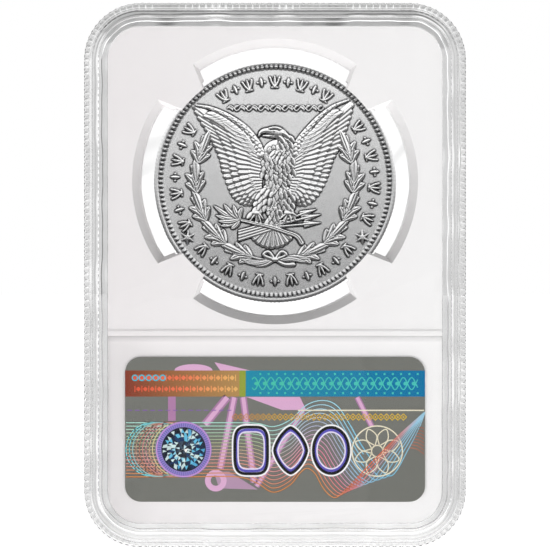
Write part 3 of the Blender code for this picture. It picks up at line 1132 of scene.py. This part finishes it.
COIL = (
    (126, 214, 220), (120, 206, 214), (150, 190, 190), (190, 146, 130), (186, 130, 112),
    (200, 140, 136), (208, 150, 156), (212, 170, 146), (210, 198, 150), (180, 208, 190),
)
GLINTS = (
    (252, 252, 248), (12, 14, 20), (210, 236, 242), (34, 36, 46), (150, 214, 236),
    (64, 84, 104), (24, 60, 104), (216, 240, 240), (104, 196, 230), (20, 50, 96),
    (206, 226, 226), (16, 36, 64), (84, 170, 214), (10, 20, 40),
)


# Wave colours by share, from the top wave at 0 to the lowest at 1
WAVE_LEFT = blend_inks(
    [(0.0, (176, 224, 210)), (0.35, (176, 188, 150)), (0.7, (222, 160, 150)), (1.0, (216, 142, 84))]
)
WAVE_CREST = blend_inks(
    [(0.0, (170, 218, 230)), (0.4, (184, 184, 206)), (0.7, (226, 142, 164)), (1.0, (220, 150, 94))]
)
WAVE_RIGHT = blend_inks(
    [(0.0, (120, 200, 232)), (0.5, (150, 196, 224)), (0.75, (226, 130, 130)), (1.0, (236, 104, 66))]
)


def wave_ink(share):
    """The colour along one wave: its own at the left, over the crest and at the right, then pale blue."""
    start, middle, last = (np.array(ink(share, 0)) for ink in (WAVE_LEFT, WAVE_CREST, WAVE_RIGHT))

    def rule(x, z):
        colour = start + np.clip((x + 2.0) / 7.0, 0, 1) * (middle - start)
        colour = colour + np.clip((x - 9.0) / 5.0, 0, 1) * (last - colour)
        return tuple(colour + np.clip((x - 18.0) / 5.0, 0, 1) * (np.array(screen(160, 206, 228)) - colour))

    return rule


SEAL = (-14.35, -3.4)
WAVES = 17
TOP_WAVE = np.array(
    [
        (-23.4, 0.8), (-14.0, 0.8), (-6.0, 0.8), (-2.8, 0.7), (-0.3, 0.2), (2.3, 1.2),
        (5.0, 3.6), (7.6, 4.3), (9.8, 3.4), (11.7, 0.6), (13.7, -2.9), (16.1, -6.1),
        (18.4, -7.45), (20.95, -3.3), (22.7, 0.2), (23.5, 2.3),
    ]
)
LOWEST_WAVE = np.array(
    [
        (-23.4, -7.7), (-14.0, -7.7), (-6.0, -7.7), (-2.8, -8.7), (-0.3, -10.1), (2.3, -9.0),
        (4.0, -7.0), (5.1, -6.35), (6.3, -7.2), (7.4, -9.2), (8.5, -10.5), (9.6, -10.9),
        (11.2, -9.6), (15.4, -5.2), (19.6, -1.0), (23.5, 2.5),
    ]
)


def wave_path(share):
    """One of the nested waves, from the top one at share 0 to the lowest at share 1."""
    return spline(TOP_WAVE + share * (LOWEST_WAVE - TOP_WAVE), 130)


BAND_FOOT = 4.9
BAND_TOP = 9.0
BAND_SPLIT = (-5.6, -4.6)  # the olive step between the red part and the blue part


def hologram_bands(sheet):
    """The coloured band along the top, with rows of small ornaments in it."""
    half_width = FOIL_SIZE[0] / 2
    edges = (-half_width, *BAND_SPLIT, half_width)
    for left, right, ink in zip(edges, edges[1:], (TERRACOTTA, OLIVE, SKY)):
        sheet.block(left, right, BAND_FOOT, BAND_TOP, ink, 1)
    for step in range(15):
        x = -22.0 + step * 1.09
        sheet.dot((x, 7.85), 0.42, 4, PEACH, 3)
        sheet.line([(x + 0.54, 7.35), (x + 0.54, 8.35)], 0.16, PEACH, 3)
        sheet.dot((x + 0.54, 6.1), 0.4, 4, PEACH, 3)
        sheet.line([(x, 5.6), (x, 6.6)], 0.16, PEACH, 3)
        if step < 5:
            sheet.ring((x, 7.85), 0.42, 0.2, TEAL, 4, sides=16)
    scroll_x = np.linspace(-3.6, 22.4, 240)
    for phase in (0.0, pi):
        scroll_z = 6.95 + 0.95 * np.sin(scroll_x * 2 * pi / 2.6 + phase)
        sheet.line(np.column_stack([scroll_x, scroll_z]), 0.17, PALE, 2 + phase / pi)
    for step in range(20):
        x = -2.95 + step * 1.3
        sheet.dot((x, 6.95), 0.3, 10, PALE, 4)
        for foot in (8.3, 5.3):
            sheet.line([(x + 0.65, foot), (x + 0.65, foot + 0.3)], 0.3, PALE, 4)


def hologram_lines(sheet):
    """A dashed line, a plain line and a row of lozenges between the band and the waves."""
    for step in range(14):
        x = -23.2 + step * 1.2
        sheet.line([(x, 2.75), (x + 0.75, 2.75)], 0.14, VIOLET, 2)
    sheet.line([(3.6, 2.75), (23.4, 2.75)], 0.2, CREAM, 6)
    for step in range(31):
        centre = (-6.24 + step * 0.88, 1.7)
        sheet.ring(centre, 0.5, 0.17, SUNSET, 5, sides=4)
        sheet.dot(centre, 0.14, 8, SUNSET, 5)


def hologram_waves(sheet):
    """Nested waves, each with a soft shadow line, and a fan of short lines where they meet the edge."""
    for index in range(WAVES):
        share = index / (WAVES - 1)
        path = wave_path(share)
        sheet.line(path[path[:, 0] < 12.0], 0.28, SHADOW, 0.5)
        sheet.line(path[path[:, 0] < 14.0], 0.17, wave_ink(share), 3 + index % 2)
        if index % 2 == 0:
            sheet.line(path[path[:, 0] > 13.4], 0.14, wave_ink(share), 5 + 0.1 * index)
    for index in range(8):
        share = index / 7
        start = (22.6 - 1.5 * share, 0.1 - 3.2 * share)
        middle = (23.1 - 0.8 * share, -3.35 * share)
        end = (23.4, -0.1 - 4.0 * share)
        sheet.line(spline([start, middle, end], 12), 0.15, RUST, 5)


def hologram_seal(sheet):
    """A sparkling round seal of small facets, with a hatched border and a coil of rings to its left."""
    for index, colour in enumerate(COIL):
        centre_x = -19.15 + index * 0.52
        ring = ring_points((centre_x, SEAL[1]), 4.25, 60)
        sheet.line(ring, 0.3, SHADOW, 1, closed=True)
        sheet.line(ring, 0.17, screen(*colour), 3 + index % 3, closed=True)
    sheet.dot(SEAL, 4.4, 56, screen(150, 136, 206), 7)
    sheet.ring(SEAL, 4.25, 0.16, screen(206, 150, 214), 8)
    for index in range(72):
        inner_end, outer_end = (ring_points(SEAL, reach, 1, 5 * index)[0] for reach in (3.6, 4.15))
        sheet.line([inner_end, outer_end], 0.12, screen(104, 92, 176), 8)
    sheet.dot(SEAL, 3.5, 56, screen(16, 30, 52), 8)
    pick = random.Random(5)
    for row in range(5):
        inner, outer = row * 0.65, 0.65 + row * 0.65
        sides = 5 + 6 * row
        for index in range(sides):
            start = 360 * (index + 0.5 * (row % 2)) / sides
            wedge = 360 / sides
            near = ring_points(SEAL, inner + 0.03, 1, start)[0]
            next_near = ring_points(SEAL, inner + 0.03, 1, start + wedge)[0]
            far = ring_points(SEAL, outer, 1, start + wedge * pick.uniform(0.2, 0.8))[0]
            glints = GLINTS[2 * row : 2 * row + 6]
            sheet.shape([near, next_near, far], screen(*pick.choice(glints)), 9)
            beyond = ring_points(SEAL, min(outer + 0.1, 3.45), 1, start + wedge * 1.2)[0]
            sheet.shape([next_near, beyond, far], screen(*pick.choice(glints)), 9)


def hologram_forms(sheet):
    """Faint rosy bars, a dome and wedges behind the waves."""
    dome = [(-12.8 + 3.0 * cos(pi * t / 12), 9.0 + 1.0 * sin(pi * t / 12)) for t in range(13)]
    sheet.shape(dome, BLUSH, 1)
    sheet.shape([(-9.5, 10.3), (-3.9, 9.0), (-8.6, 9.0)], BLUSH, 1)
    sheet.block(-16.8, -15.6, 1.1, BAND_FOOT, ROSE, 1)
    for start, end, width in (
        ((-7.5, 4.8), (-11.0, 0.5), 1.3),
        ((-6.4, 4.8), (-8.6, -6.4), 1.1),
        ((-5.0, 4.8), (-3.3, -8.6), 1.1),
        ((4.4, 2.7), (-2.9, -9.2), 0.9),
        ((12.9, 4.8), (15.2, 0.2), 0.9),
    ):
        sheet.line([start, end], width, ROSE, 1)
        sheet.line([start, end], 0.55 * width, BLUSH, 1.5)
    sheet.shape([(-4.5, 4.85), (1.1, 2.8), (4.9, 2.8), (3.9, 4.85)], BLUSH, 1)
    sheet.shape([(-9.6, -6.9), (-7.2, -6.9), (-2.7, -9.7), (-8.8, -9.5)], screen(184, 150, 178), 1)
    sheet.ring((-9.3, -8.3), 1.25, 0.9, BLUSH, 1.5)


def outlined(sheet, outline):
    """A shape drawn as a black outline with a white line and a violet line inside it."""
    middle = outline.mean(0)
    for scale, width, ink, level in (
        (1.0, 0.9, screen(250, 250, 252), 6),
        (0.99, 0.46, INK_BLACK, 8),
        (0.87, 0.4, screen(92, 84, 190), 7),
        (0.79, 0.22, screen(236, 228, 248), 8),
    ):
        sheet.line(middle + (outline - middle) * scale, width, ink, level, closed=True)


def hologram_shapes(sheet):
    """Three plain shapes and a rosette where the label has its large marks."""
    for x, half_size, power in ((-3.75, (2.6, 3.7), 4.0), (2.45, (2.55, 3.6), 1.45), (8.8, (2.8, 3.65), 2.0)):
        outlined(sheet, rounded_loop((x, -3.55), half_size, power))
    centre = np.array([16.05, -3.65])
    for index in range(8):
        heading = radians(45 * index + 22.5)
        reach = np.array([cos(heading), sin(heading)])
        across = np.array([-reach[1], reach[0]])
        corners = ((0.9, 0), (2.3, 0.85), (3.7, 0), (2.3, -0.85), (0.9, 0))
        petal = [centre + forward * reach + sideways * across for forward, sideways in corners]
        sheet.line(spline(petal, 20), 0.17, CREAM, 6)
    sheet.ring(centre, 3.95, 0.2, CREAM, 6)
    sheet.ring(centre, 0.9, 0.2, CREAM, 6)


def rounded_loop(centre, half_size, power, sides=64):
    """A loop between a diamond (power 1), an ellipse (2) and a box (large)."""
    angles = 2 * pi * np.arange(sides) / sides
    c, s = np.cos(angles), np.sin(angles)
    x = centre[0] + half_size[0] * np.sign(c) * np.abs(c) ** (2 / power)
    z = centre[1] + half_size[1] * np.sign(s) * np.abs(s) ** (2 / power)
    return np.column_stack([x, z])


def hologram_label():
    base = printed_material("foil_look", 0.35, 0.38, 0.55, 0.1)
    ink = printed_material("foil_ink_look", 0.15, 0.3, 0.5, 0.08)
    grey_green = screen(124, 125, 119)
    label_base("hologram_label", REAR, FOIL_SIZE, 2.5, FOIL_Z, grey_green, base)
    layers = (
        hologram_forms, hologram_bands, hologram_waves, hologram_lines, hologram_seal, hologram_shapes,
    )
    for draw in layers:
        sheet = Print(REAR, LABEL_TOP, FOIL_Z + 0.25)
        draw(sheet)
        sheet.done(draw.__name__, ink)


# --- The grading label, on the side that is not seen: a plain layout of its own ---


def grading_print(sheet):
    """A colour band, bars of unlike lengths, a striped code and a star, with no lettering."""
    half_x, half_z = CARD_SIZE / 2
    navy, gold, dull = screen(36, 58, 104), screen(190, 156, 84), screen(92, 94, 98)
    sheet.block(-half_x, half_x, half_z - 4.6, half_z, navy, 1)
    for z in (half_z - 5.1, 0.8 - half_z):
        sheet.line([(-half_x, z), (half_x, z)], 0.35, gold, 1)
    for index in range(23):
        x = -half_x + 2.0 + index * (CARD_SIZE[0] - 4.0) / 22
        sheet.dot((x, half_z - 2.3), 0.75, 4, gold, 2)
    for row, length in enumerate((21.0, 16.5, 18.5)):
        z = 3.2 - 2.9 * row
        sheet.block(-18.0, length - 18.0, z, z + 1.3, dull, 1)
    x = -18.0
    for index in range(34):
        width = 0.18 + 0.14 * ((index * 7) % 4)
        sheet.block(x, x + width, -8.8, -5.4, INK_BLACK, 1)
        x += width + 0.2 + 0.12 * ((index * 5) % 3)
    star = []
    for index in range(16):
        reach = 5.2 if index % 2 == 0 else 2.4
        star.append(ring_points((14.6, -1.8), reach, 1, 90 + 22.5 * index)[0])
    sheet.shape(star, gold, 1)
    sheet.ring((14.6, -1.8), 5.9, 0.35, navy, 1)


def grading_label():
    base = printed_material("card_look", 0.0, 0.45, 0.7, 0.05)
    ink = printed_material("card_ink_look", 0.0, 0.35, 0.6, 0.08)
    cream = screen(232, 228, 218)
    label_base("grading_label", FRONT, CARD_SIZE, 1.0, CARD_Z, cream, base)
    sheet = Print(FRONT, LABEL_TOP, CARD_Z, upright=-1)
    grading_print(sheet)
    sheet.done("grading_print", ink)


# --- The white insert ---


def white_insert():
    """The CAD insert itself, with its edges rounded."""
    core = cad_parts["prong_core"]
    core.data.materials.clear()
    core.data.materials.append(white_plastic_material())
    weld = core.modifiers.new("weld", "WELD")
    weld.merge_threshold = 0.001 * MM
    bevel = core.modifiers.new("bevel", "BEVEL")
    bevel.width = 0.1 * MM
    bevel.segments = 2
    bevel.limit_method = "ANGLE"
    bevel.angle_limit = radians(20)
    bevel.harden_normals = True
    return core


# --- Scene ---


THROUGH_SHELLS = 1.19  # makes up for what four polished faces reflect away


def through_shells(n, across, up):
    """How bright the surroundings look through clear plastic, from how far a ray was bent: white where it
    goes straight, greyer to the sides and below, and darkest above."""
    by_height = n.ramp(
        up,
        (-1, 0.6), (-0.4, 0.64), (-0.25, 0.72), (-0.15, 0.84), (-0.065, 1.0), (0.055, 1.0),
        (0.1, 0.42), (0.19, 0.38), (0.24, 0.12), (0.36, 0.1), (0.55, 0.6), (1, 1.0),
    )
    by_side = n.ramp(
        n.math("ABSOLUTE", across),
        (0, 1), (0.036, 1), (0.07, 0.78), (0.12, 0.64), (0.25, 0.57), (0.5, 0.46), (1, 0.5),
    )
    return n.math("MULTIPLY", n.math("MINIMUM", by_height, by_side), THROUGH_SHELLS)


def sky():
    """Soft studio surroundings. Rays that go straight through the clear plastic see white, and bent ones
    see greys, darkest upwards. The coin sees a sky that is bright above and dark below, and matt surfaces
    are lit a little more from below."""
    world = bpy.data.worlds.new("studio")
    bpy.context.scene.world = world
    n = Nodes(world)
    world.cycles.sampling_method = "NONE"  # the rules below need every ray to find the sky itself
    places = n.add("ShaderNodeTexCoord").outputs
    seen = n.axes(places["Camera"])
    true = n.axes(places["Generated"])
    path = n.add("ShaderNodeLightPath").outputs
    straight = through_shells(n, seen["X"], seen["Y"])
    sheen = n.remap(true["Z"], 0.2, 0.8, 0.03, 1.2)
    inner_sheen = n.remap(true["Z"], 0.0, 0.8, 0.05, 0.9)
    lean = n.math("ADD", n.math("MULTIPLY", true["Z"], 0.97), n.math("MULTIPLY", true["X"], 0.15))
    metal = n.ramp(
        lean,
        (-1, 0.005), (-0.2, 0.01), (-0.1, 0.32), (-0.04, 0.8), (0, 0.93), (0.07, 1.25), (0.25, 1.6), (1, 1.7),
    )
    height = n.math("ADD", true["Z"], n.math("MULTIPLY", true["X"], 0.12))
    matt = n.remap(height, -1.0, 0.62, 3.4, 0.02)
    level = n.over(path["Transmission Depth"], 0.5, sheen, inner_sheen)
    level = n.over(path["Transmission Depth"], 1.5, level, metal)
    level = n.over(path["Glossy Depth"], 0.5, straight, level)
    level = n.over(path["Diffuse Depth"], 0.5, level, matt)
    level = n.pick(path["Is Camera Ray"], level, 1.0)
    background = n.add("ShaderNodeBackground", {"Color": (1, 1, 1, 1), "Strength": level})
    n.add("ShaderNodeOutputWorld", {"Surface": background.outputs[0]})


def floor():
    """A wide pale floor that meets the white behind it, with a faint soft shadow."""
    data = bpy.data.meshes.new("floor")
    reach = 12.0
    corners = [(x * reach, y * reach, 0) for x, y in ((-1, -1), (1, -1), (1, 1), (-1, 1))]
    data.from_pydata(corners, [], [(0, 1, 2, 3)])
    material, n = new_material("floor_look")
    matt = n.add("ShaderNodeBsdfDiffuse", {"Color": (0.5, 0.5, 0.5, 1)})
    incoming = n.add("ShaderNodeNewGeometry").outputs["Incoming"]
    settings = {"vector_type": "VECTOR", "convert_from": "WORLD", "convert_to": "CAMERA"}
    turned = n.add("ShaderNodeVectorTransform", {"Vector": incoming}, **settings).outputs[0]
    seen = n.axes(turned)
    straight = through_shells(n, seen["X"], n.math("MULTIPLY", seen["Y"], -1.0))
    path = n.add("ShaderNodeLightPath").outputs
    depth = n.math("ABSOLUTE", n.axes(incoming)["Y"])
    turned_away = n.math("SUBTRACT", depth, seen["Z"])
    in_metal = n.ramp(turned_away, (0, 0.015), (0.1, 0.02), (0.3, 0.3), (0.8, 0.5), (2, 0.6))
    level = n.over(path["Glossy Depth"], 0.5, n.math("SUBTRACT", straight, 0.05), in_metal)
    level = n.over(path["Diffuse Depth"], 0.5, level, 1.66)
    level = n.pick(path["Is Camera Ray"], level, 0.92)
    glow = n.add("ShaderNodeEmission", {"Color": (1, 1, 1, 1), "Strength": level})
    material.cycles.emission_sampling = "NONE"
    both = n.add("ShaderNodeAddShader", {0: matt.outputs[0], 1: glow.outputs[0]})
    n.finish(both.outputs[0])
    data.materials.append(material)
    item = bpy.data.objects.new("floor", data)
    bpy.context.scene.collection.objects.link(item)
    return item


def sun(name, angles, strength, softness, receivers):
    light = bpy.data.lights.new(name, "SUN")
    light.energy = strength
    light.angle = radians(softness)
    item = bpy.data.objects.new(name, light)
    item.rotation_euler = [radians(angle) for angle in angles]
    bpy.context.scene.collection.objects.link(item)
    link_light(item, receivers)
    return item


def link_light(item, receivers):
    group = bpy.data.collections.new(item.name + "_receivers")
    for receiver in receivers:
        group.objects.link(receiver)
    item.light_linking.receiver_collection = group


def camera():
    lens = bpy.data.cameras.new("camera")
    lens.lens = 400
    lens.sensor_width = 36
    lens.clip_start = 0.05
    lens.clip_end = 50
    item = bpy.data.objects.new("camera", lens)
    view_width = 86.2 * MM
    distance = view_width * lens.lens / lens.sensor_width
    item.location = (0, -distance - RIM_HEIGHT * MM, MIDDLE_Z * MM)
    item.rotation_euler = (pi / 2, 0, 0)
    bpy.context.scene.collection.objects.link(item)
    bpy.context.scene.camera = item


def build():
    clear = clear_plastic_material()
    silver = silver_material()
    shell_piece("rear_shell_clear", "rear_shell", REAR, clear)
    shell_piece("front_shell_clear", "front_shell", FRONT, clear)
    relief_pieces("reverse", reverse_relief(), REAR, 280, 70, silver)
    relief_pieces("obverse", obverse_relief(), FRONT, 160, 44, silver)
    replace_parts(coin_rim(silver), "coin")
    hologram_label()
    grading_label()
    white_insert()
    sky()
    ground = floor()
    sun("floor_key", (35, 25, 0), 0.62, 25, [ground])
    camera()
    bpy.context.scene.view_settings.view_transform = "Standard"


build()
